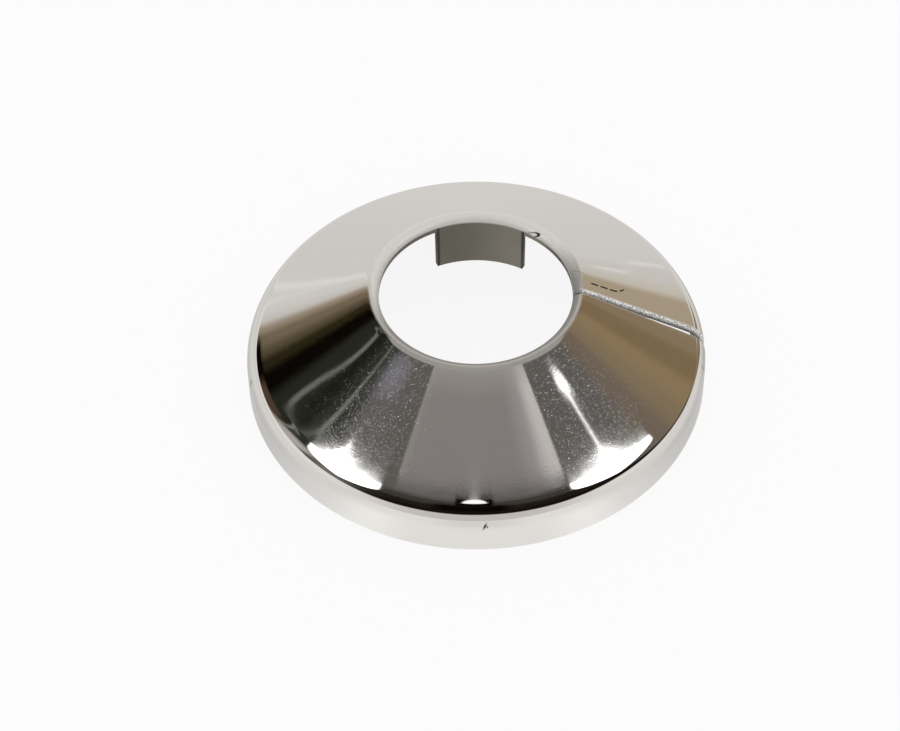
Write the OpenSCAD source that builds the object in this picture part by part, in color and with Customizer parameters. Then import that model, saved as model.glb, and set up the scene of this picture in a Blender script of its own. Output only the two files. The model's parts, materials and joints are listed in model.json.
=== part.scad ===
// Stamped pipe rosette, one piece of chrome-plated sheet metal. It covers the hole round a
// pipe where the pipe enters a wall or floor. A low skirt turns through a rounded shoulder
// into a straight cone, and the cone ends in a lip that is rolled down into the bore.
// Spring tongues hang from the lip, and one slit runs through the whole ring, so that it
// can be sprung over a pipe that is already in place.
// The base plane is z = 0, the bore runs along +Z, and the slit opens towards +X.
// Lengths are in millimetres and angles in degrees.

/* [Cover] */
// Diameter over the skirt
outer_d = 54; // [48:0.5:60]
// Height from the base plane to the top of the lip
height = 14.2; // [11:0.1:18]
// Thickness of the sheet
sheet_t = 0.7; // [0.5:0.05:0.9]
// Height of the straight part of the skirt
skirt_h = 3.1; // [2:0.1:5]
// Radius inside the shoulder bend
shoulder_bend_r = 3; // [1:0.1:4]

/* [Bore] */
// Diameter of the hole for the pipe
bore_d = 22.4; // [18:0.1:26]
// Radius inside the rolled lip
lip_bend_r = 0.3; // [0.2:0.05:0.8]
// Straight wall of the neck under the rolled lip, beside the tongues
neck_land = 0.4; // [0.1:0.05:1]

/* [Spring tongues] */
// Number of tongues, spaced evenly round the bore
tongue_count = 2; // [1:1:3]
// Width of a tongue, straight across from side to side
tongue_w = 10.1; // [6:0.1:13]
// Depth of a tongue's free end under the top of the lip
tongue_drop = 7.1; // [3.5:0.1:9]
// Distance by which a tongue's free end leans in from the bore's wall
tongue_lean = 0.1; // [0:0.05:0.4]
// Direction of the first tongue, seen from above
tongue_dir = 87; // [70:1:110]

/* [Slit] */
// Direction of the slit's centre line, seen from above
slit_dir = 4.5; // [0:0.5:8]
// Distance by which that line passes beside the bore's axis
slit_miss = 1.7; // [0:0.1:2.5]
// Width of the slit where it leaves the bore
slit_at_bore = 0.3; // [0.2:0.05:0.8]
// Width of the slit at the skirt
slit_at_skirt = 1.1; // [0.4:0.05:2]

/* [Hidden] */
$fn = 96;
outer_r = outer_d / 2;
bore_r = bore_d / 2;
shoulder_r = shoulder_bend_r + sheet_t;
lip_r = lip_bend_r + sheet_t;
// Centres of the two bends in the section, as [radius, height]
lip_centre = [bore_r + lip_r, height - lip_r];
shoulder_centre = [outer_r - shoulder_r, skirt_h];
// The cone is the straight line that touches both bends on their outside. Its slope is
// measured down from the horizontal.
run = shoulder_centre - lip_centre;
cone_slope = asin((lip_r - shoulder_r) / norm(run)) - atan2(run.y, run.x);
cone_side = 90 - cone_slope;
// Largest angle between neighbouring points of a bend
bend_step = 8;
neck_foot = height - lip_r - neck_land;
tongue_foot = height - tongue_drop;
tip_r = bore_r - tongue_lean;
// Angle that a tongue covers round the bore, and the angle from one tongue to the next
tongue_arc = 2 * asin(tongue_w / bore_d);
tongue_pitch = 360 / tongue_count;
// The cutters run past the sheet by this much
cut_over = 1;
slit_near = bore_r - cut_over;
slit_far = outer_r + cut_over;
slit_spread = (slit_at_skirt - slit_at_bore) / (outer_r - bore_r);

// Points of an arc round a centre, from one angle to another
function arc(centre, r, from, to) =
    let (steps = ceil(abs(to - from) / bend_step))
    [for (i = [0 : steps])
        let (a = from + (to - from) * i / steps)
        centre + r * [cos(a), sin(a)]];

// Width of the slit at a distance from the bore's axis
function slit_width(x) = slit_at_bore + (x - bore_r) * slit_spread;

// Section of the sheet: up the outside over shoulder, cone and lip, down the neck to the end
// of a leaning tongue, and back inside at one thickness all the way
module sheet_section() {
    polygon(concat(
        [[outer_r, 0]],
        arc(shoulder_centre, shoulder_r, 0, cone_side),
        arc(lip_centre, lip_r, cone_side, 180),
        [[bore_r, neck_foot], [tip_r, tongue_foot]],
        [[tip_r + sheet_t, tongue_foot], [bore_r + sheet_t, neck_foot]],
        arc(lip_centre, lip_bend_r, 180, cone_side),
        arc(shoulder_centre, shoulder_bend_r, cone_side, 0),
        [[outer_r - sheet_t, 0]]
    ));
}

// The stretch of neck that is punched away on one side of a tongue, as far as the next one.
// It reaches out to the middle of the lip's bend, clear of the cone.
module neck_cut(direction) {
    rotate([0, 0, direction + tongue_arc / 2])
        rotate_extrude(angle = tongue_pitch - tongue_arc)
            translate([bore_r - cut_over, tongue_foot - cut_over])
                square([cut_over + lip_r, neck_foot - tongue_foot + cut_over]);
}

// The slit, seen from above as a wedge that is narrow at the bore
module slit() {
    rotate([0, 0, slit_dir])
        translate([0, -slit_miss, -cut_over])
            linear_extrude(height + 2 * cut_over)
                polygon([
                    [slit_near, -slit_width(slit_near) / 2],
                    [slit_far, -slit_width(slit_far) / 2],
                    [slit_far, slit_width(slit_far) / 2],
                    [slit_near, slit_width(slit_near) / 2]
                ]);
}

module rosette() {
    color([0.78, 0.77, 0.75])
        difference() {
            rotate_extrude()
                sheet_section();
            for (i = [0 : tongue_count - 1])
                neck_cut(tongue_dir + i * tongue_pitch);
            slit();
        }
}

rosette();
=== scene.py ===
"""Looks of a chrome-plated pipe rosette, pressed from one sheet, on a pale studio floor.

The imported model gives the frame. One piece, worked out with numpy from the section of the
sheet, takes the place of the plain solid and adds what the pressing and the cutting left on
it: rolled edges, a rough cut, a burr and a few nicks.
"""

import json

import bpy
import numpy as np
from mathutils import Matrix, Vector

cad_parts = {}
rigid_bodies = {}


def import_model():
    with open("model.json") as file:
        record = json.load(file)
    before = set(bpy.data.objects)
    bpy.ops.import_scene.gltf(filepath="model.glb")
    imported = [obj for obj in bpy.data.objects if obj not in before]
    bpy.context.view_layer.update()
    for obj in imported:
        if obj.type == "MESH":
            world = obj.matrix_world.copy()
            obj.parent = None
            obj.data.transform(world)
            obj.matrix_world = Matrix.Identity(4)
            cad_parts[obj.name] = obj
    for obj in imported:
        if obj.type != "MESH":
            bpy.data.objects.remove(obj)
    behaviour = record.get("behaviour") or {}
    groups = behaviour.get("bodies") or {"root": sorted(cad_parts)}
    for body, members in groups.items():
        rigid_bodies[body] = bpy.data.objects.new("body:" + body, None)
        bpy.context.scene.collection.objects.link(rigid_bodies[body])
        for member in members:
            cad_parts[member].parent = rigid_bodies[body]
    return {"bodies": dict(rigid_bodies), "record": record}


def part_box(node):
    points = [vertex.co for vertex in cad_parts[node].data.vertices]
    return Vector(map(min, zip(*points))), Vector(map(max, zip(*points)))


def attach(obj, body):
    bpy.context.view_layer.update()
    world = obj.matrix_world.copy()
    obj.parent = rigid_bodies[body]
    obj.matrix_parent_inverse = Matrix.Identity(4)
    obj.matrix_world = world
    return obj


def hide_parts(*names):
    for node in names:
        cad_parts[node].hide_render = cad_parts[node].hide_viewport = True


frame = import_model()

bl_info = {
    "name": "Pipe rosette",
    "version": (1, 0, 0),
    "blender": (4, 5, 0),
    "location": "3D View > Sidebar > Rosette",
    "description": "Builds a chrome-plated pipe rosette and the stage that it stands on",
    "category": "Add Mesh",
}

MM = 0.001
NODE = "rosette"
BODY = next(iter(frame["bodies"]))
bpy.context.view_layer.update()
LOW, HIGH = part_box(NODE)
PIPE_BORE = next(m for m in frame["record"]["mounts"] if m["name"] == "pipe_bore")


class RosetteSizes(bpy.types.PropertyGroup):
    """Sizes of the pressed sheet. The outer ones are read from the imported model."""

    outer_radius: bpy.props.FloatProperty(
        name="Outer radius", description="Radius of the skirt",
        default=HIGH.x, unit="LENGTH", subtype="DISTANCE", precision=5)
    height: bpy.props.FloatProperty(
        name="Height", description="From the base plane to the top of the lip",
        default=HIGH.z, unit="LENGTH", subtype="DISTANCE", precision=5)
    bore_radius: bpy.props.FloatProperty(
        name="Bore radius", description="Radius of the hole for the pipe",
        default=PIPE_BORE["dims"]["r_mm"] * MM, unit="LENGTH", subtype="DISTANCE", precision=5)
    sheet: bpy.props.FloatProperty(
        name="Sheet", description="Thickness of the sheet",
        default=0.7 * MM, unit="LENGTH", subtype="DISTANCE", precision=5)
    skirt: bpy.props.FloatProperty(
        name="Skirt", description="Height of the straight part of the skirt",
        default=3.1 * MM, unit="LENGTH", subtype="DISTANCE", precision=5)
    shoulder_bend: bpy.props.FloatProperty(
        name="Shoulder bend", description="Radius outside the shoulder bend",
        default=3.7 * MM, unit="LENGTH", subtype="DISTANCE", precision=5)
    lip_bend: bpy.props.FloatProperty(
        name="Lip bend", description="Radius outside the rolled lip",
        default=1.0 * MM, unit="LENGTH", subtype="DISTANCE", precision=5)
    lip_corner: bpy.props.FloatProperty(
        name="Lip corner", description="Radius of the lip's bend into the bore",
        default=0.8 * MM, unit="LENGTH", subtype="DISTANCE", precision=5)
    neck_land: bpy.props.FloatProperty(
        name="Neck land", description="Straight wall of the neck under the lip",
        default=0.4 * MM, unit="LENGTH", subtype="DISTANCE", precision=5)
    tongue_width: bpy.props.FloatProperty(
        name="Tongue width", description="Width of a spring tongue, straight across",
        default=10.1 * MM, unit="LENGTH", subtype="DISTANCE", precision=5)
    tongue_drop: bpy.props.FloatProperty(
        name="Tongue drop", description="Depth of a tongue's free end under the top of the lip",
        default=7.1 * MM, unit="LENGTH", subtype="DISTANCE", precision=5)
    tongue_lean: bpy.props.FloatProperty(
        name="Tongue lean", description="Distance by which a tongue's free end leans inwards",
        default=0.1 * MM, unit="LENGTH", subtype="DISTANCE", precision=5)
    tongue_direction: bpy.props.FloatProperty(
        name="Tongue direction", description="Direction of the first tongue, seen from above",
        default=np.radians(87.0), unit="ROTATION", subtype="ANGLE")
    slit_direction: bpy.props.FloatProperty(
        name="Slit direction", description="Direction of the slit's centre line from above",
        default=np.radians(4.5), unit="ROTATION", subtype="ANGLE")
    slit_miss: bpy.props.FloatProperty(
        name="Slit miss", description="Distance by which that line passes beside the axis",
        default=1.7 * MM, unit="LENGTH", subtype="DISTANCE", precision=5)
    slit_inner: bpy.props.FloatProperty(
        name="Slit at the bore", description="Width of the slit where it leaves the bore",
        default=0.3 * MM, unit="LENGTH", subtype="DISTANCE", precision=5)
    slit_outer: bpy.props.FloatProperty(
        name="Slit at the skirt", description="Width of the slit at the skirt",
        default=1.1 * MM, unit="LENGTH", subtype="DISTANCE", precision=5)
    far_roll: bpy.props.FloatProperty(
        name="Far edge roll", description="Radius of the slit's rolled far edge",
        default=0.36 * MM, unit="LENGTH", subtype="DISTANCE", precision=5)
    near_roll: bpy.props.FloatProperty(
        name="Near edge roll", description="Radius of the slit's near edge",
        default=0.12 * MM, unit="LENGTH", subtype="DISTANCE", precision=5)
    ragged: bpy.props.FloatProperty(
        name="Ragged", description="Unevenness of the slit's edges",
        default=0.03 * MM, unit="LENGTH", subtype="DISTANCE", precision=5)
    foot_round: bpy.props.FloatProperty(
        name="Foot round", description="Radius of the corners at the cut ends of the sheet",
        default=0.12 * MM, unit="LENGTH", subtype="DISTANCE", precision=5)


class RosetteFinish(bpy.types.PropertyGroup):
    """Colours and roughness of the plating."""

    chrome: bpy.props.FloatVectorProperty(
        name="Chrome", description="Colour of the polished plating",
        default=(0.78, 0.77, 0.75), min=0, max=1, subtype="COLOR")
    # The inside colour is the unpolished metal, darkened further as painted shade: the bore, the tongues and the
    # underside are painted as dark as the shade in them.
    inside: bpy.props.FloatVectorProperty(
        name="Inside", description="Colour of the unpolished metal in the bore and underneath",
        default=(0.16, 0.15, 0.125), min=0, max=1, subtype="COLOR")
    polish: bpy.props.FloatProperty(
        name="Polish", description="Roughness of the polished outside",
        default=0.035, min=0, max=1, subtype="FACTOR")
    satin: bpy.props.FloatProperty(
        name="Satin", description="Roughness of the inside of the lip and the underside",
        default=0.5, min=0, max=1, subtype="FACTOR")


class RosetteStage(bpy.types.PropertyGroup):
    """Floor, lamps, room and camera."""

    floor_colour: bpy.props.FloatVectorProperty(
        name="Floor", description="Colour of the floor",
        default=(0.9, 0.9, 0.9), min=0, max=1, subtype="COLOR")
    floor_width: bpy.props.FloatProperty(
        name="Floor width", description="Width of the floor",
        default=6.0, unit="LENGTH", subtype="DISTANCE")
    floor_white: bpy.props.FloatProperty(
        name="Floor white", description="Share of plain white in the floor that is seen",
        default=0.9, min=0, max=1, subtype="FACTOR")
    room_level: bpy.props.FloatProperty(
        name="Room level", description="Plain light that the room gives to dull surfaces",
        default=0.7, min=0)
    lamp_power: bpy.props.FloatProperty(
        name="Lamp power", description="Power of each soft lamp", default=0.75, unit="POWER")
    camera_elevation: bpy.props.FloatProperty(
        name="Camera elevation", description="Angle of the view above the floor",
        default=np.radians(48.27), unit="ROTATION", subtype="ANGLE")
    camera_distance: bpy.props.FloatProperty(
        name="Camera distance", description="From the camera to the point it is aimed by",
        default=324 * MM, unit="LENGTH", subtype="DISTANCE", precision=4)


SETTINGS = {"rosette_sizes": RosetteSizes, "rosette_finish": RosetteFinish,
            "rosette_stage": RosetteStage}


def arc(centre, radius, start, end, steps):
    """Points and outward normals of an arc: the centre plus the radius times (cos, sin) of
    the angle, which runs evenly from start to end."""
    a = np.linspace(start, end, steps + 1)
    normals = np.stack([np.cos(a), np.sin(a)], 1)
    return np.array(centre) + radius * normals, normals


def line(start, end, normal, steps):
    """Evenly spaced points of a straight line, all with one normal."""
    points = np.linspace(start, end, steps + 1)
    return points, np.tile(np.array(normal, float), (steps + 1, 1))


def chain(*runs):
    """Runs of points and normals joined to one, the point where two runs meet kept once."""
    points = np.concatenate([runs[0][0]] + [p[1:] for p, _ in runs[1:]])
    normals = np.concatenate([runs[0][1]] + [n[1:] for _, n in runs[1:]])
    return points, normals


class Section:
    """The section of the sheet as rows of (radius, height) for its outer and inner face.

    The outer face runs from the middle of the skirt's cut edge up the skirt, round the
    shoulder, along the straight line that touches both bends, over the lip and down the
    neck. The inner face is the same curve at one sheet's thickness inwards, row for row."""

    def __init__(self, s):
        self.s = s
        self.lip_centre = np.array([s.bore_radius + s.lip_bend, s.height - s.lip_bend])
        self.shoulder_centre = np.array([s.outer_radius - s.shoulder_bend, s.skirt])
        run = self.shoulder_centre - self.lip_centre
        slope = (np.arcsin((s.lip_bend - s.shoulder_bend) / np.hypot(*run))
                 - np.arctan2(run[1], run[0]))
        self.cone_side = np.pi / 2 - slope
        self.neck_foot = s.height - s.lip_bend - s.neck_land
        self.tongue_foot = s.height - s.tongue_drop
        self.cover = self.face(0, 1), self.face(s.sheet, -1)
        self.neck_end = self.end(0, 1), self.end(s.sheet, -1)
        self.tongue = self.tongue_face(0, 1), self.tongue_face(s.sheet, -1)

    def face(self, inset, side):
        """One face of the cover, from the middle of the skirt's edge to the neck."""
        s, c = self.s, s_round(self.s)
        skirt = s.outer_radius - inset
        middle = s.outer_radius - s.sheet / 2
        corner = (skirt - side * c, c)
        down = 0 if side > 0 else np.pi
        runs = [
            line((middle, 0), (skirt - side * c, 0), (0, -1), 1),
            arc(corner, c, -np.pi / 2, down if side > 0 else -np.pi, 3),
            line((skirt, c), (skirt, s.skirt), (side, 0), 6),
        ]
        lip, shoulder = s.lip_bend - inset, s.shoulder_bend - inset
        bend = arc(self.shoulder_centre, shoulder, 0, self.cone_side, 28)
        roll = arc(self.lip_centre, lip, self.cone_side, np.pi, 22)
        wall = s.bore_radius + inset
        if side > 0:
            roll = self.flat_roll()
        runs += [
            (bend[0], bend[1] * side),
            line(bend[0][-1], roll[0][0], bend[1][-1] * side, 36),
            (roll[0], roll[1] * side),
            line(roll[0][-1], (wall, self.neck_foot + c), (-side, 0), 2),
        ]
        return chain(*runs)

    def flat_roll(self):
        """The outside of the lip: its bend up to the top, a narrow flat on the top, and a
        tighter bend into the bore."""
        s = self.s
        bend = arc(self.lip_centre, s.lip_bend, self.cone_side, np.pi / 2, 8)
        tight = arc((s.bore_radius + s.lip_corner, s.height - s.lip_corner), s.lip_corner,
                    np.pi / 2, np.pi, 10)
        return chain(bend, line(bend[0][-1], tight[0][0], (0, 1), 4), tight)

    def corner(self, wall, foot, side):
        """The rounded corner at a cut end of the neck, and half of the cut edge."""
        s, c = self.s, s_round(self.s)
        middle = wall + side * s.sheet / 2
        start, end = (np.pi, 1.5 * np.pi) if side > 0 else (0, -np.pi / 2)
        return chain(arc((wall + side * c, foot + c), c, start, end, 3),
                     line((wall + side * c, foot), (middle, foot), (0, -1), 1))

    def end(self, inset, side):
        """End of the neck beside the tongues."""
        return self.corner(self.s.bore_radius + inset, self.neck_foot, side)

    def tongue_face(self, inset, side):
        """One face of a tongue: a straight line that leans inwards, then the corner."""
        s, c = self.s, s_round(self.s)
        top, low = self.neck_foot + c, self.tongue_foot + c
        wall = s.bore_radius + inset
        tip = wall - s.tongue_lean
        return chain(line((wall, top), (tip, low), (-side, 0), 14),
                     self.corner(tip, self.tongue_foot, side))


def s_round(sizes):
    """Radius of the corners at the cut ends."""
    return sizes.foot_round


# Dents in the shoulder: direction in degrees, height of their middle along the section from the
# skirt's foot, half width, half length, lean and depth in mm
DENTS = (
    (-88.1, 4.10, 0.11, 0.34, 0.42, 0.16),
    (-87.55, 4.02, 0.10, 0.12, 0.0, 0.12),
    (-168.0, 4.22, 0.12, 0.28, -0.1, 0.16),
    (-8.0, 4.30, 0.10, 0.40, 0.0, 0.16),
)
# A burr on the lip's bend into the bore: direction in degrees, radius of its middle, half width,
# half length and height in mm
BURR = (51.8, 11.23, 0.42, 0.12, 0.2)


def wobble(position, size, seed):
    """A smooth unevenness: five sine waves of falling length along a position in metres, with
    phases from a seed, scaled to a size."""
    rng = np.random.default_rng(seed)
    lengths = np.array([5.0, 2.6, 1.5, 0.95, 0.62]) * MM
    waves = np.sin(2 * np.pi * (position[:, None] / lengths + rng.random(5)))
    return size * waves @ np.array([0.35, 0.3, 0.25, 0.25, 0.2])


def dent_lift(angle, radius, along):
    """How far the dents sink the face: for each, its depth times a bell curve across and a
    bell curve along it."""
    lift = np.zeros_like(angle)
    for direction, middle, width, length, lean, depth in DENTS:
        turn = (angle - np.radians(direction) + np.pi) % (2 * np.pi) - np.pi
        v = along[:, None] / MM - middle
        u = turn * radius[:, None] / MM - lean * v
        lift -= depth * MM * np.exp(-((u / width) ** 2) - (v / length) ** 2)
    return lift


def burr_lift(angle, radius, slope):
    """How far the burr stands out of the lip's bend, a bell curve round its middle."""
    direction, middle, width, length, height = BURR
    u = (angle - np.radians(direction)) * middle
    v = (radius / MM - middle)[:, None]
    hook = np.exp(-((u / width) ** 2) - (v / length) ** 2)
    return height * MM * (slope > -88)[:, None] * hook


class Ring:
    """The columns of the sheet: the angle of every column at a given radius, from the far
    wall of the slit round to its near wall."""

    near_wall = np.array([0, 0.02, 0.05, 0.09, 0.14, 0.2, 0.27, 0.35, 0.5, 0.75, 1.1]) * MM

    def __init__(self, s):
        self.s = s
        half = np.arcsin(s.tongue_width / 2 / s.bore_radius)
        first = s.tongue_direction
        self.stops = np.array([first - half, first + half,
                               first + np.pi - half, first + np.pi + half])
        step = np.radians(1.2)
        spans = [first - half - 0.13, 2 * half, np.pi - 2 * half, 2 * half,
                 np.pi - half - first - 0.1]
        self.fractions = [np.linspace(0, 1, int(np.ceil(w / step)) + 1) for w in spans]
        for dent in DENTS:
            self.refine(s.outer_radius, np.radians(dent[0] % 360), 17)
        self.refine(s.bore_radius, np.radians(BURR[0]), 13, 3.4)
        n = len(self.near_wall) - 1
        counts = [n + len(self.fractions[0]) - 1] + [len(f) - 1 for f in self.fractions[1:4]]
        self.marks = np.concatenate([[0], np.cumsum(counts)])
        self.marks = np.append(self.marks, self.marks[-1] + len(self.fractions[4]) - 1 + n)

    def refine(self, radius, direction, count, reach=1.0):
        """More columns round one direction, for a small mark at that radius. The reach is in
        degrees to each side."""
        knots = self.knots(np.array([[radius]]))[0]
        k = int(np.searchsorted(knots, direction)) - 1
        width = knots[k + 1] - knots[k]
        middle, half = (direction - knots[k]) / width, np.radians(reach) / width
        fractions = self.fractions[k]
        keep = fractions[np.abs(fractions - middle) > half * 1.25]
        self.fractions[k] = np.sort(np.concatenate([keep, middle + half * np.linspace(-1, 1, count)]))

    def knots(self, r):
        """Angles at which the spans between the tongues' sides begin and end."""
        first = self.wall(r, 1) + self.near_wall[-1] / r
        last = self.wall(r, -1) + 2 * np.pi - self.near_wall[-1] / r
        return np.concatenate([first] + [np.full_like(r, a) for a in self.stops] + [last], 1)

    def wall(self, radius, side):
        """Angle at which a circle round the axis meets a wall of the slit. In the slit's own
        axes the wall is y = -miss + side * width / 2, and the width grows evenly with x."""
        s = self.s
        x = radius
        for _ in range(3):
            width = s.slit_inner + ((x - s.bore_radius) * (s.slit_outer - s.slit_inner)
                                    / (s.outer_radius - s.bore_radius))
            y = -s.slit_miss + side * width / 2
            x = np.sqrt(radius**2 - y**2)
        return s.slit_direction + np.arctan2(y, x)

    def angles(self, radius, far_shift=0.0, near_shift=0.0):
        """Angles of all columns, one row for each radius, with the arc distances from the
        far and from the near wall."""
        r = np.asarray(radius)[:, None]
        far = self.wall(r, 1) + far_shift / r
        near = self.wall(r, -1) + 2 * np.pi - near_shift / r
        knots = self.knots(r)
        share = self.near_wall / self.near_wall[-1]
        parts = [far + (knots[:, :1] - far) * share]
        for k, f in enumerate(self.fractions):
            parts.append((knots[:, k:k + 1] + (knots[:, k + 1:k + 2] - knots[:, k:k + 1]) * f)[:, 1:])
        parts.append((near - (near - knots[:, -1:]) * share[::-1])[:, 1:])
        a = np.concatenate(parts, 1)
        return a, (a - far) * r, (near - a) * r


def edge_drop(distance, radius):
    """How far a rounded edge lies below the face, at a distance from the wall: the radius
    less the height of a quarter circle over it."""
    reach = np.clip(1 - distance / radius, 0, 1)
    return radius * (1 - np.sqrt(1 - reach**2))


def place(radius, angle, height):
    """Points from cylindrical coordinates."""
    return np.stack(np.broadcast_arrays(radius * np.cos(angle), radius * np.sin(angle), height), -1)


class Patches:
    """Grids of points with their values, welded by place into one closed mesh."""

    def __init__(self, names):
        self.names = names
        self.points, self.faces, self.values, self.count = [], [], [], 0

    def add(self, grid, **values):
        """One grid of points, as quads between neighbouring rows and columns."""
        rows, columns = grid.shape[:2]
        index = np.arange(rows * columns).reshape(rows, columns) + self.count
        quads = np.stack([index[:-1, :-1], index[:-1, 1:], index[1:, 1:], index[1:, :-1]], -1)
        self.points.append(grid.reshape(-1, 3))
        self.faces.append(quads.reshape(-1, 4))
        flat = [np.broadcast_to(values.get(n, 0.0), (rows, columns)).reshape(-1) for n in self.names]
        self.values.append(np.stack(flat, 1))
        self.count += rows * columns

    def mesh(self, name):
        """Points that lie at one place become one vertex, and quads that lost a side become
        triangles."""
        points, faces = np.concatenate(self.points), np.concatenate(self.faces)
        values = np.concatenate(self.values)
        key = np.round(points / 2e-7).astype(np.int64)
        _, first, back = np.unique(key, axis=0, return_index=True, return_inverse=True)
        faces = back.reshape(-1)[faces]
        same = faces == np.roll(faces, -1, axis=1)
        quads = faces[same.sum(1) == 0]
        thin = faces[same.sum(1) == 1]
        side = same[same.sum(1) == 1]
        triangles = thin[~side].reshape(-1, 3)
        mesh = bpy.data.meshes.new(name)
        mesh.from_pydata(points[first], [], quads.tolist() + triangles.tolist())
        for k, label in enumerate(self.names):
            layer = mesh.attributes.new(label, "FLOAT", "POINT")
            layer.data.foreach_set("value", values[first, k].astype(np.float32))
        return mesh


def face_outwards(mesh):
    """Turns all faces of a closed mesh outwards and marks its sharp edges."""
    import bmesh
    shell = bmesh.new()
    shell.from_mesh(mesh)
    open_edges = sum(1 for e in shell.edges if len(e.link_faces) != 2)
    bmesh.ops.recalc_face_normals(shell, faces=shell.faces)
    if shell.calc_volume(signed=True) < 0:
        bmesh.ops.reverse_faces(shell, faces=shell.faces)
    shell.to_mesh(mesh)
    shell.free()
    if open_edges:
        raise RuntimeError(f"{mesh.name} has {open_edges} edges that don't join two faces")
    mesh.shade_smooth()
    mesh.set_sharp_from_angle(angle=np.radians(38))


def rosette_mesh(s):
    """The whole sheet: both faces of the cover, the ends of the neck, the tongues, and the
    walls of the slit."""
    section, ring = Section(s), Ring(s)
    patches = Patches(["dull", "dark", "cut", "mark"])
    everything = slice(0, ring.marks[-1] + 1)
    spans = [slice(ring.marks[k], ring.marks[k + 1] + 1) for k in range(5)]

    def sheet_face(profile, outside, columns, dull, dark):
        """One face as a grid of the profile's points by the ring's columns. The outer face is
        lowered along its rounded edges and in the dents, and raised at the burr. Its satin
        begins at the foot of the lip at the back and on the lip's top at the front."""
        points, normals = profile
        steps = np.hypot(*np.diff(points, axis=0).T)
        along = np.concatenate([[0], np.cumsum(steps)]) + (s.foot_round - s.sheet / 2)
        seed = 3 if outside else 5
        cut_end = section.neck_foot * (points[:, 0] < section.lip_centre[0])
        fade = np.clip((points[:, 1] - cut_end) / (0.5 * MM), 0, 1)[:, None]
        down = points[:, 0] + 0.7 * points[:, 1]
        shifts = [wobble(down, s.ragged, seed + 10 * k)[:, None] * fade for k in (0, 1)]
        angle, far, near = ring.angles(points[:, 0], *shifts)
        lift, mark, cut = 0.0, 0.0, 0.0
        if outside:
            cut = np.clip(1.3 - far / s.far_roll, 0, 0.7)[:, columns]
            lift = -fade * (edge_drop(far, s.far_roll) + edge_drop(near, s.near_roll))
            slope = np.degrees(np.arctan2(normals[:, 0], normals[:, 1]))
            dents = dent_lift(angle, points[:, 0], along)
            mark = np.clip(dents / (-0.09 * MM), 0, 1)[:, columns]
            lift += dents + fade * burr_lift(angle, points[:, 0], slope)
            back = np.clip(1.5 * np.sin(angle) + 0.2, 0, 1)[:, columns]
            start, width = 4 + 22 * back, 14 - 4 * back
            rubbed = np.clip((start - slope[:, None]) / width, 0, 1)
            dull = np.maximum(dull, rubbed)
        radius = points[:, :1] + lift * normals[:, :1]
        height = np.minimum(points[:, 1:] + lift * normals[:, 1:], s.height)
        grid = place(radius, angle, height)
        patches.add(grid[:, columns], dull=dull, dark=dark, cut=cut, mark=mark)
        return grid

    slope = np.degrees(np.arctan2(section.cover[0][1][:, 0], section.cover[0][1][:, 1]))
    # Painted shade: the outside is painted dark from where the lip's corner turns steeply down into the bore.
    shaded = np.clip((-74 - slope) / 12, 0, 1)[:, None]
    edges = []
    for outside in (True, False):
        k = 0 if outside else 1
        finish = (0.0, shaded) if outside else (1.0, 1.0)
        cover = sheet_face(section.cover[k], outside, everything, *finish)
        for span in (spans[0], spans[2], spans[4]):
            end = sheet_face(section.neck_end[k], outside, span, 1.0, 1.0)
        for span in (spans[1], spans[3]):
            sheet_face(section.tongue[k], False, span, 1.0, 1.0)
        edges.append(np.concatenate([cover, end[1:]]))
    across = np.linspace(0, 1, 7)[None, :, None]
    for column in (0, -1):
        top, under = edges[0][:, column, None], edges[1][:, column, None]
        patches.add(top + (under - top) * across, cut=1.0, dull=1.0)
    for stop in ring.stops:
        ends = np.concatenate([section.neck_end[0][0], section.neck_end[1][0][::-1][1:]])
        feet = [section.tongue[k][0] for k in (0, 1)]
        bend = len(section.neck_end[0][0])
        low = np.concatenate([feet[0][-bend:], feet[1][-bend:][::-1][1:]])
        depth = np.linspace(0, 1, len(feet[0]) - bend + 1)[:, None, None]
        flat = ends + (low - ends) * depth
        patches.add(place(flat[..., 0], stop, flat[..., 1]), cut=0.6, dull=1.0, dark=1.0)
    return patches.mesh("rosette_sheet")


class ROSETTE_OT_sheet(bpy.types.Operator):
    """Build the pressed sheet, which takes the place of the plain solid"""

    bl_idname = "rosette.sheet"
    bl_label = "Pressed sheet"

    def execute(self, context):
        mesh = rosette_mesh(context.scene.rosette_sizes)
        face_outwards(mesh)
        sheet = bpy.data.objects.new("rosette_sheet", mesh)
        context.scene.collection.objects.link(sheet)
        mesh.materials.append(chrome_material(context.scene.rosette_finish))
        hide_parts(NODE)
        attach(sheet, BODY)
        return {"FINISHED"}


class Value:
    """A number socket that takes part in Python sums. Each operator adds one Math node."""

    def __init__(self, graph, socket):
        self.graph, self.socket = graph, socket

    def math(self, operation, *others):
        return self.graph.value("ShaderNodeMath", {"operation": operation}, [self, *others])

    def __add__(self, other): return self.math("ADD", other)
    def __radd__(self, other): return self.math("ADD", other)
    def __mul__(self, other): return self.math("MULTIPLY", other)
    def __rmul__(self, other): return self.math("MULTIPLY", other)
    def __sub__(self, other): return self.math("SUBTRACT", other)
    def __rsub__(self, other): return (self * -1) + other
    def __truediv__(self, other): return self.math("DIVIDE", other)
    def __pow__(self, other): return self.math("POWER", other)
    def __abs__(self): return self.math("ABSOLUTE")


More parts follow.
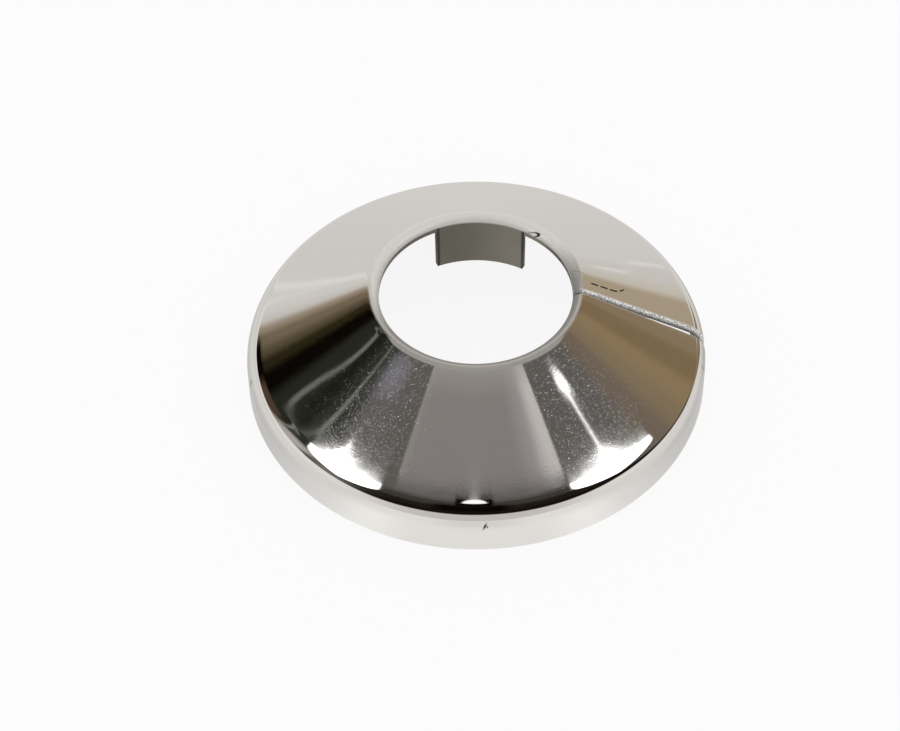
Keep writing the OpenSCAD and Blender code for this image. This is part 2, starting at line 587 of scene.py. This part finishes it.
class Graph:
    """The nodes of one material or of the room."""

    def __init__(self, owner):
        owner.use_nodes = True
        self.tree = owner.node_tree
        self.tree.nodes.clear()

    def node(self, kind, settings, inputs):
        """Adds a node: first its settings, then the values or links of its sockets."""
        node = self.tree.nodes.new(kind)
        for name, value in settings.items():
            setattr(node, name, value)
        pairs = inputs.items() if isinstance(inputs, dict) else enumerate(inputs)
        for name, value in pairs:
            if isinstance(value, Value):
                self.tree.links.new(value.socket, node.inputs[name])
            elif isinstance(value, bpy.types.NodeSocket):
                self.tree.links.new(value, node.inputs[name])
            else:
                node.inputs[name].default_value = value
        return node

    def value(self, kind, settings, inputs, output=0):
        return Value(self, self.node(kind, settings, inputs).outputs[output])

    def rise(self, x, start, end):
        """0 below start, 1 above end, and a smooth curve between them."""
        inputs = {"Value": x, "From Min": start, "From Max": end}
        return self.value("ShaderNodeMapRange", {"interpolation_type": "SMOOTHSTEP"}, inputs)

    def band(self, x, start, end, soft):
        """1 between start and end, 0 outside, with soft edges."""
        return self.rise(x, start - soft, start + soft) * (1 - self.rise(x, end - soft, end + soft))

    def noise(self, where, scale, detail=2.0, rough=0.5, warp=0.0):
        inputs = {"Vector": where, "Scale": scale, "Detail": detail, "Roughness": rough,
                  "Distortion": warp}
        return self.value("ShaderNodeTexNoise", {}, inputs)

    def mix(self, factor, first, second):
        """The first colour, and the second where the factor is 1."""
        node = self.node("ShaderNodeMix", {"data_type": "RGBA"}, {})
        for socket, value in ((node.inputs[0], factor), (node.inputs[6], first), (node.inputs[7], second)):
            if isinstance(value, Value):
                self.tree.links.new(value.socket, socket)
            elif isinstance(value, bpy.types.NodeSocket):
                self.tree.links.new(value, socket)
            else:
                socket.default_value = value if isinstance(value, (int, float)) else (*value, 1)
        return node.outputs[2]

    def parts(self, vector):
        """x, y and z of a vector."""
        node = self.node("ShaderNodeSeparateXYZ", {}, [vector])
        return [Value(self, out) for out in node.outputs]


def marks_and_burr_shade(g, x, y, z, grain):
    """Dark marks on the plating, by the place in mm: a dashed line behind the slit that curls up at its end, a fine
    line across the lip, a spot, and a painted shade round the burr."""
    curl = (x - 15.9).math("MAXIMUM", 0.0)
    off = abs(y - 1.12 - (x - 13.03) * 0.137 - curl * curl * 0.42)
    dashes = g.rise((x * 5.6).math("SINE") + grain * 1.2, -0.2, 0.1)
    dashed = (1 - g.rise(off, 0.08, 0.17)) * g.band(x, 13.1, 17.3, 0.1) * dashes
    across = (1 - g.rise(abs(y - 2.76 + (x - 11.05) * 0.3), 0.02, 0.06)) * g.band(x, 11.2, 12.6, 0.1)
    spot = ((x - 9.9) ** 2 + (y + 8.37).math("POWER", 2.0)).math("SQRT")
    spot = (1 - g.rise(spot, 0.08, 0.2)) * 0.8
    # Painted shade: a dark outline round the burr, on its far side.
    aside, up = (x - 6.69) / 0.73, (z * 0.666 + y * 0.746 - 15.79) / 0.28
    burr = (1 - g.rise(abs((aside * aside + up * up).math("SQRT") - 1), 0.14, 0.4)) * g.rise(y, 0, 1)
    burr = burr * g.rise(z, 12.4, 12.6) * (g.rise(x, 6.3, 7.2) * 0.6 + 0.4)
    marks = (dashed * g.rise(x, 0, 1)).math("MAXIMUM", across * 0.6)
    return marks.math("MAXIMUM", spot).math("MAXIMUM", burr)


def chrome_material(finish):
    """Chrome plating: bright and nearly smooth outside, with the faint waves, pits and rubbed streaks of cheap
    plating, satin where it wasn't polished, and rough at the cut. Its colour also holds painted light and shade: the
    bore and the underside are painted as dark as their shade, with painted shade lines on the tongues and the neck.
    The satin of the lip is painted lighter at the back and darker at the front, the slit's rolled edge has a painted
    highlight, and there is painted shade round the burr."""
    material = bpy.data.materials.new("chrome_plate")
    g = Graph(material)
    where = g.node("ShaderNodeTexCoord", {}, {}).outputs["Object"]
    dull, dark, cut, mark = (g.value("ShaderNodeAttribute", {"attribute_name": n}, {}, "Fac")
                             for n in ("dull", "dark", "cut", "mark"))
    x, y, z = (part * 1000 for part in g.parts(where))
    waves = g.noise(where, 260, 2.0)
    skin = g.noise(where, 4200, 2.0, 0.6)
    grain = g.noise(where, 6000, 2.0, 0.7)
    pits = g.rise(g.noise(where, 7500, 1.0), 0.69, 0.76)
    cloud = g.noise(where, 420, 4.0, 0.65)
    polished = 1 - dull
    high = g.rise(z, 6.4, 7.6) * polished
    relief = (waves * 0.0022 + skin * 0.0005 * high + grain * (dull * 0.002 + cut * 0.045)
              - pits * 0.0022 * high)
    bump = g.node("ShaderNodeBump", {}, {"Strength": 1.0, "Distance": MM, "Height": relief})
    scratches_and_burr_shade = marks_and_burr_shade(g, x, y, z, grain) * (1 - dark)
    # The dents are painted dark by their depth as well.
    marks_and_painted_shade = scratches_and_burr_shade.math("MAXIMUM", mark)
    rough = (polished * (cloud * 0.03 + finish.polish - 0.015) + dull * (cloud * 0.12 + finish.satin - 0.06)
             + cut * 0.1 + pits * 0.1 + marks_and_painted_shade * 0.35)
    side = abs(x - 0.59)
    # Painted light: the inside colour is painted lighter towards the right (+x).
    inside = g.mix(g.rise(x, -3.5, 5.2), finish.inside, [1.5 * c for c in finish.inside])
    # Painted shade: thin dark lines along both sides of the tongues.
    inside = g.mix(g.rise(side, 4.72, 4.9) * (1 - g.rise(side, 5.1, 5.15)), inside, (0.05, 0.05, 0.045))
    # Painted shade: a dark line on the neck wall at the right of the bore, towards the back.
    neck = g.rise(x, 7.5, 10) * (1 - g.rise((x * x + y * y).math("SQRT"), 11.9, 12.1)) * g.rise(y, -1, 1)
    inside = g.mix(neck * 0.8, inside, (0.045, 0.036, 0.026))
    # The bore, the tongues and the underside take the inside colour: unpolished metal with painted shade.
    tone = g.mix(dark, finish.chrome, inside)
    # Satin tone with painted light and reflection on the lip: painted lighter towards the back and darker at the
    # front.
    satin_tone_and_painted_light = g.mix(g.rise(y - x * 0.35, -4, 5), (0.34, 0.325, 0.30), (0.86, 0.835, 0.805))
    tone = g.mix(dull * (1 - dark), tone, satin_tone_and_painted_light)
    # Painted highlight: the polished face is painted nearly white along the slit's rolled far edge. Elsewhere the
    # cut face takes its grey colour.
    cut_face_and_highlight = cut * (1 - dark)
    tone = g.mix((cut_face_and_highlight * polished * 2.5).math("MINIMUM", 0.9), tone, (0.95, 0.94, 0.92))
    tone = g.mix(cut_face_and_highlight * dull, tone, (0.42, 0.41, 0.39))
    tone = g.mix((cut * 2).math("MINIMUM", 1.0) * g.rise(grain, 0.53, 0.6) * 0.85, tone, (0.08, 0.075, 0.065))
    tone = g.mix(marks_and_painted_shade, tone, (0.03, 0.026, 0.022))
    shader = g.node("ShaderNodeBsdfPrincipled", {}, {
        "Base Color": tone, "Metallic": 1 - dull.math("MAXIMUM", (cut * 2).math("MINIMUM", 1.0)) * (1 - dark) * 0.75,
        "Roughness": rough, "Normal": bump.outputs[0]})
    g.node("ShaderNodeOutputMaterial", {}, [shader.outputs[0]])
    return material


def floor_material(stage):
    """A white floor. The camera and the metal see mostly its plain white, and the rest is lit by the lamps, so it
    keeps the part's shadow. The metal sees it dimmer at the back: close to the part this is a painted shadow of the
    part, and brighter lobes in front on either side are painted pools of light."""
    material = bpy.data.materials.new("floor_white")
    g = Graph(material)
    rays = g.node("ShaderNodeLightPath", {}, {})
    camera, glossy = (Value(g, rays.outputs[n]) for n in ("Is Camera Ray", "Is Glossy Ray"))
    seen = camera.math("MAXIMUM", glossy)
    where = g.node("ShaderNodeTexCoord", {}, {}).outputs["Object"]
    x, y, z = g.parts(where)
    away = (x * x + y * y).math("SQRT")
    ahead = abs(x.math("ARCTAN2", y * -1)) * (180 / np.pi)
    # Painted shadow: close to the part, the floor that the metal sees is painted darker towards the back.
    close = g.mix(g.rise(ahead, 28, 75), (0.97, 0.955, 0.94), (0.62, 0.61, 0.60))
    # Painted pools of light, brighter than white, in front on either side.
    close = g.mix(g.band(ahead, 22, 34, 8), close, (1.10, 1.09, 1.07))
    close = g.mix(g.rise(x, 0.02, 0.027) * g.band(y, 0.001, 0.018, 0.004), close, (0.48, 0.43, 0.37))
    open_floor = g.mix(g.rise(y, -0.02, 0.06), (0.84, 0.82, 0.80), (0.745, 0.725, 0.70))
    # Painted pools of light on the open floor as well, in front on either side.
    open_floor = g.mix(g.band(ahead, 12, 40, 8), open_floor, (0.95, 0.93, 0.92))
    over = y - x * 0.29
    beside = g.rise(x, 0.039, 0.043) * (1 - g.rise(y - x * 0.72, -0.004, 0.004))
    open_floor = g.mix(g.rise(over, -0.003, 0.0) * beside, open_floor, (0.245, 0.168, 0.088))
    open_floor = g.mix(g.band(over, 0, 0.005, 0.0015) * g.rise(x, 0.05, 0.06), open_floor, (0.09, 0.05, 0.02))
    colour = g.mix(g.rise(away, 0.029, 0.040), close, open_floor)
    colour = g.mix(g.rise(away, 0.020, 0.024), (1.0, 1.0, 1.0), colour)
    glow = g.node("ShaderNodeEmission", {}, [g.mix(camera, colour, (1.0, 1.0, 1.0)), 1.0])
    lit = g.node("ShaderNodeBsdfDiffuse", {}, [(*stage.floor_colour, 1)])
    both = g.node("ShaderNodeMixShader", {}, [seen * stage.floor_white, lit.outputs[0], glow.outputs[0]])
    g.node("ShaderNodeOutputMaterial", {}, [both.outputs[0]])
    return material


SWEEP = (0.750, 0.728, 0.705)


def left_wall(g, bearing, slope, run):
    """The light sweep at the back, then the left wall: beige at the sweep's edge, nearly
    black, then dark green grey with two thin uneven lights, and grey towards the middle."""
    colour = g.mix(g.rise(bearing, -98, -92.5), SWEEP, (0.66, 0.625, 0.585))
    light = g.band(bearing + run * 5.2, -103.0, -100.0, 1.6) * g.rise(slope, 15, 25)
    colour = g.mix(light * 0.7 * g.rise(bearing, -120, -110), colour, (0.92, 0.90, 0.89))
    for start, end, tone in (
            (-94, -90.5, (0.36, 0.29, 0.215)), (-91, -87.5, (0.205, 0.155, 0.100)),
            (-86.5, -82, (0.100, 0.078, 0.046)), (-82.5, -79, (0.026, 0.020, 0.008)),
            (-78, -74.5, (0.003, 0.002, 0.001)), (-71, -66, (0.022, 0.024, 0.017)),
            (-60, -57, (0.013, 0.016, 0.010)), (-55, -50, (0.032, 0.034, 0.028)),
            (-48, -44, (0.055, 0.054, 0.049)), (-44.5, -40, (0.118, 0.112, 0.108)),
            (-40, -34, (0.130, 0.122, 0.115))):
        colour = g.mix(g.rise(bearing, start, end), colour, tone)
    low = 1 - g.rise(slope, 36, 41)
    first = (run - 0.17) * 5.03
    first = first.math("COSINE") * 2.0 - 60.5 + g.rise(run, 0.88, 1.02) * 5
    colour = g.mix(g.rise(abs(bearing - first) * -1, -1.7, -0.3) * low * 0.9, colour, (0.20, 0.20, 0.17))
    ends = g.rise(run, 0.85, 1.05) * 5 + g.rise(slope, 35, 49) * 5
    second = run.math("MINIMUM", 1.05) ** 4 * -3.2 - 47.4 - ends
    strength = (g.rise(run, 0.1, 0.9) * 0.5 + 0.4) * (1 - g.rise(slope, 42, 48))
    colour = g.mix(g.rise(abs(bearing - second) * -1, -1.3, -0.2) * strength, colour, (0.24, 0.24, 0.21))
    black = g.band(bearing, -88, -74, 3) * g.rise(slope, 34.6, 36)
    colour = g.mix(black, colour, (0.003, 0.001, 0.001))
    brown = g.band(bearing, -74, -61, 3) * g.band(slope, 37.5, 55, 2)
    colour = g.mix(brown, colour, (0.085, 0.055, 0.035))
    patch = g.band(bearing + (slope - 46) * 0.9, -60, -45, 4) * g.rise(slope, 38, 46)
    colour = g.mix(patch, colour, (0.48, 0.46, 0.42))
    return g.mix(g.band(bearing, -45, -30, 5) * g.rise(slope, 46, 49), colour, (0.20, 0.19, 0.17))


def right_wall(g, colour, bearing, run):
    """The right wall: grey, then brown in several shades, and the sweep again, with the edge
    of a paper as a thin light."""
    for start, end, tone in (
            (44, 55, (0.190, 0.152, 0.115)), (55, 62, (0.265, 0.200, 0.125)),
            (62, 69, (0.310, 0.220, 0.122)), (71, 75.5, (0.245, 0.172, 0.092)),
            (80, 84, (0.29, 0.215, 0.135)), (86, 92, (0.47, 0.385, 0.28)), (98.5, 102.5, (0.665, 0.615, 0.54)),
            (102.5, 107, (0.70, 0.665, 0.635)), (109, 116, SWEEP)):
        colour = g.mix(g.rise(bearing, start, end), colour, tone)
    edge = g.rise(run, 0.34, 0.41) * 5.5 + 107.8
    light = g.rise(abs(bearing - edge) * -1, -1.8, 0) * g.band(run, 0.02, 1.0, 0.1)
    return g.mix(light * 0.6, colour, (0.92, 0.90, 0.88))


def overhead_panel(g, colour, bearing, slope, run):
    """A grey panel overhead, with rounded corners at its near end, a light left edge and a
    light right part. Below it the room is dark."""
    colour = g.mix(g.rise(slope, 33.5, 34.5) * g.band(bearing, -34, 34, 9), colour, (0.055, 0.050, 0.045))
    colour = g.mix(g.rise(slope, 38, 44) * g.band(bearing, -30, 40, 9), colour, (0.016, 0.012, 0.009))
    down = g.rise(run, 0.82, 1.12)
    half = (1 - down * down).math("SQRT") * 23.2
    panel = 1 - g.rise(abs(bearing - 1.2) - half, -0.5, 0.5)
    panel = panel * g.rise(slope, 24, 29) * (1 - g.rise(run, 1.09, 1.12))
    shade = g.mix(g.rise(bearing, -22.5, -19), (0.315, 0.298, 0.287), (0.272, 0.253, 0.245))
    shade = g.mix(g.rise(bearing, 11, 17), shade, (0.34, 0.315, 0.31))
    shade = g.mix(g.rise(bearing, 16.5, 22.5), shade, (0.62, 0.59, 0.58))
    shade = g.mix((1 - g.rise(run, 0.0, 0.22)) * 0.6, shade, (0.40, 0.38, 0.355))
    shade = g.mix(g.rise(run, 0.82, 1.02) * 0.95, shade, (0.112, 0.105, 0.100))
    return g.mix(panel, colour, shade)


def soft_boxes(g, colour, bearing, slope, run):
    """Two soft boxes. On the straight cone each shows as a flame: a thin ragged streak that
    widens to a drop at the shoulder."""
    foot = g.rise(slope, 35.5, 48.6)
    foot = (1 - foot * foot).math("SQRT")
    level = 1 - g.rise(slope, 48.4, 48.7)
    spread = g.rise(run, 0.78, 1.03)
    spread = spread * spread
    halo = g.rise(abs(bearing + 38) * -1, -9, 0) * g.band(run, 0.02, 0.34, 0.1)
    colour = g.mix(halo * 0.6, colour, (0.27, 0.265, 0.31))
    strokes = g.node("ShaderNodeCombineXYZ", {}, [bearing * 0.12, run * 1.0, 0.0]).outputs[0]
    strokes = g.noise(strokes, 24, 2.0, 0.6)
    broken = g.rise(strokes, 0.44, 0.54).math("MAXIMUM", g.rise(spread, 0.0, 0.12))
    broken = broken.math("MAXIMUM", 1 - g.rise(run, 0.3, 0.36))
    strokes = (strokes - 0.5) * 5 * (1 - spread)
    left = abs(bearing + 39.0 - spread * 1.8 + strokes) - (spread * 11.2 + 0.4) * foot
    left = (1 - g.rise(left, -0.5, 0.5)) * g.rise(run, 0.77, 0.82) * level
    colour = g.mix(left, colour, (2.6, 2.6, 2.6))
    wide = g.band(run, 0.19, 0.32, 0.04) * 1.9 + 0.32
    right = abs(bearing - 37.6 - spread * 0.7 + strokes) - (spread * 13.0 + wide) * foot
    right = (1 - g.rise(right, -0.5, 0.5)) * g.rise(run, 0.15, 0.19) * level * (broken * 0.8 + 0.2)
    return g.mix(right, colour, (2.6, 2.6, 2.6))


def camera_corner(g, colour, bearing, slope):
    """The dark camera low in front, with one small light on top of it."""
    body = g.band(bearing, -11.0, 8.0, 2.5) * g.rise(slope, 36, 41) * (1 - g.rise(slope, 56, 57))
    aside = (bearing + 0.6) / 5.4
    top = 33.45 + aside * aside * 0.03
    neck = g.rise(slope - top, -0.02, 0.02) * (1 - g.rise(abs(aside), 0.85, 1.0)) * (1 - g.rise(slope, 39, 40))
    colour = g.mix(body.math("MAXIMUM", neck), colour, (0.004, 0.002, 0.002))
    across = (bearing + 0.6) / 3.4
    along = (slope - 34.35) / 0.85
    light = g.rise(across * across * -1 - along * along, -1.1, -0.9)
    return g.mix(light, colour, (1.3, 1.3, 1.3))


def near_front(g, colour, bearing, slope):
    """The near edge of the white table: above it a dark strip, below it the light table. The
    edge runs lower towards the left."""
    left = bearing.math("MINIMUM", 0.0)
    over = slope - (54.3 - left ** 4 * 2.0e-7)
    strip = g.rise(over + g.rise(bearing, 35, 60) * -3.2, -6.2, -4.6) * g.band(bearing, -26, 96, 6)
    colour = g.mix(strip * (1 - g.rise(over, -0.5, 0.8)), colour, (0.010, 0.006, 0.004))
    table = g.mix(g.rise(abs(bearing), 8, 42), (0.66, 0.625, 0.60), (0.90, 0.87, 0.84))
    reach = 1 - g.rise(bearing * -1, 96, 104)
    return g.mix(g.rise(over, -0.5, 1.0) * reach, colour, table)


def high_sweep(g, colour, bearing, slope, depth):
    """High up the room is light again: grey overhead and lighter towards the back."""
    sky = g.mix(g.rise(depth, 0.668, 0.686), (0.385, 0.37, 0.345), (0.735, 0.71, 0.68))
    beside = g.rise(abs(bearing), 46, 62)
    start, end = 27 - beside * 33, 32.2 - beside * 16
    return g.mix(g.rise(slope, start, end), sky, colour)


def room_light(world, stage):
    """The room round the part. The camera sees plain white and dull surfaces get a plain
    level. Metal sees a studio: a light sweep behind, a dark wall on the left, a brown one on
    the right, a grey panel overhead, two soft boxes, and a dark camera in front.

    A direction is named on a chart: it is the direction in which a small mirror, seen from
    the viewpoint of the picture, shows that part of the room. The chart's slope is the
    mirror's slope in degrees and its bearing is 0 at the front and 90 on the right."""
    g = Graph(world)
    rays = g.node("ShaderNodeLightPath", {}, {})
    camera, glossy = (Value(g, rays.outputs[n]) for n in ("Is Camera Ray", "Is Glossy Ray"))
    look = g.node("ShaderNodeTexCoord", {}, {}).outputs["Generated"]
    e = stage.camera_elevation
    view = (0, -np.cos(e), np.sin(e))
    half = g.node("ShaderNodeVectorMath", {"operation": "ADD"}, [look, view]).outputs[0]
    half = g.node("ShaderNodeVectorMath", {"operation": "NORMALIZE"}, [half]).outputs[0]
    x, y, z = g.parts(half)
    degrees = 180 / np.pi
    slope = z.math("ARCCOSINE") * degrees
    bearing = x.math("ARCTAN2", y * -1) * degrees
    _, depth, rise = g.parts(look)

    round_to = (bearing / degrees).math("COSINE")
    bearing = bearing - (bearing / degrees).math("SINE") * 1.2
    run = (slope - 33.22 + round_to * 1.08) / (1.76 - round_to * round_to * 0.39)
    colour = left_wall(g, bearing, slope, run)
    colour = right_wall(g, colour, bearing, run)
    colour = overhead_panel(g, colour, bearing, slope, run)
    colour = soft_boxes(g, colour, bearing, slope, run)
    colour = camera_corner(g, colour, bearing, slope)
    colour = near_front(g, colour, bearing, slope)
    colour = high_sweep(g, colour, bearing, slope, depth)
    plain = g.mix(camera, (stage.room_level,) * 3, (1.0, 1.0, 1.0))
    light = g.mix(glossy, plain, colour)
    background = g.node("ShaderNodeBackground", {}, [light, 1.0])
    g.node("ShaderNodeOutputWorld", {}, [background.outputs[0]])


class ROSETTE_OT_stage(bpy.types.Operator):
    """Build the floor, the lamps, the room and the camera"""

    bl_idname = "rosette.stage"
    bl_label = "Stage"

    def execute(self, context):
        stage = context.scene.rosette_stage
        scene = context.scene
        scene.view_settings.view_transform = "Standard"
        self.floor(scene, stage)
        self.lamps(scene, stage)
        scene.world = bpy.data.worlds.new("room")
        room_light(scene.world, stage)
        self.camera(scene, stage)
        return {"FINISHED"}

    def floor(self, scene, stage):
        """A flat square under the part."""
        corner = np.array([-0.5, 0.5]) * stage.floor_width
        x, y = np.meshgrid(corner, corner)
        mesh = bpy.data.meshes.new("floor")
        mesh.from_pydata(np.stack([x, y, 0 * x], -1).reshape(-1, 3), [], [(0, 1, 3, 2)])
        mesh.materials.append(floor_material(stage))
        floor = bpy.data.objects.new("floor", mesh)
        scene.collection.objects.link(floor)

    def lamps(self, scene, stage):
        """Two broad lamps, left and right above the part, that light the floor and throw a
        faint shadow. The metal sees the room's own soft boxes in their place."""
        for name, side in (("lamp_left", -1), ("lamp_right", 1)):
            data = bpy.data.lights.new(name, "AREA")
            data.shape, data.size = "SQUARE", 0.5
            data.energy = stage.lamp_power
            lamp = bpy.data.objects.new(name, data)
            lamp.visible_glossy = False
            scene.collection.objects.link(lamp)
            place_at = Vector((0.62 * side, -0.15, 0.65))
            lamp.matrix_world = (Matrix.Translation(place_at)
                                 @ place_at.to_track_quat("Z", "Y").to_matrix().to_4x4())

    def camera(self, scene, stage):
        """The camera stands at its distance from the aim point, at its elevation over the
        front, and is turned a little so that the aim point falls where the picture has it."""
        elevation, roll = stage.camera_elevation, np.radians(-0.29)
        aim = Vector((0, 0, 3.24 * MM))
        focal = 2744.7
        width, height, spot = 900, 731, (476.0, 351.4)
        data = bpy.data.cameras.new("camera")
        data.sensor_width = 36
        data.lens = focal * data.sensor_width / width
        data.clip_start, data.clip_end = 0.01, 50
        camera = bpy.data.objects.new("camera", data)
        scene.collection.objects.link(camera)
        back = Vector((0, -np.cos(elevation), np.sin(elevation)))
        side, up = Vector((1, 0, 0)), Vector((0, np.sin(elevation), np.cos(elevation)))
        right = side * np.cos(roll) + up * np.sin(roll)
        rise = up * np.cos(roll) - side * np.sin(roll)
        level = Matrix((right, rise, back)).transposed()
        sight = Vector(((spot[0] - width / 2) / focal, (height / 2 - spot[1]) / focal, -1))
        turn = sight.normalized().rotation_difference(Vector((0, 0, -1)))
        camera.matrix_world = (Matrix.Translation(aim + back * stage.camera_distance)
                               @ (level @ turn.to_matrix()).to_4x4())
        scene.camera = camera


class ROSETTE_PT_panel(bpy.types.Panel):
    """Lists the sizes, the finish and the stage, with a button for each step"""

    bl_idname = "ROSETTE_PT_panel"
    bl_label = "Pipe rosette"
    bl_space_type = "VIEW_3D"
    bl_region_type = "UI"
    bl_category = "Rosette"

    def draw(self, context):
        for name, group in SETTINGS.items():
            box = self.layout.box()
            for prop in group.__annotations__:
                box.prop(getattr(context.scene, name), prop)
        for step in STEPS:
            self.layout.operator(step.bl_idname)


STEPS = (ROSETTE_OT_sheet, ROSETTE_OT_stage)
CLASSES = (*SETTINGS.values(), *STEPS, ROSETTE_PT_panel)


def register():
    for cls in CLASSES:
        bpy.utils.register_class(cls)
    for name, group in SETTINGS.items():
        setattr(bpy.types.Scene, name, bpy.props.PointerProperty(type=group))


def unregister():
    for name in SETTINGS:
        delattr(bpy.types.Scene, name)
    for cls in reversed(CLASSES):
        bpy.utils.unregister_class(cls)


def main():
    register()
    bpy.ops.rosette.sheet()
    bpy.ops.rosette.stage()
    bpy.context.view_layer.update()


if __name__ == "__main__":
    main()
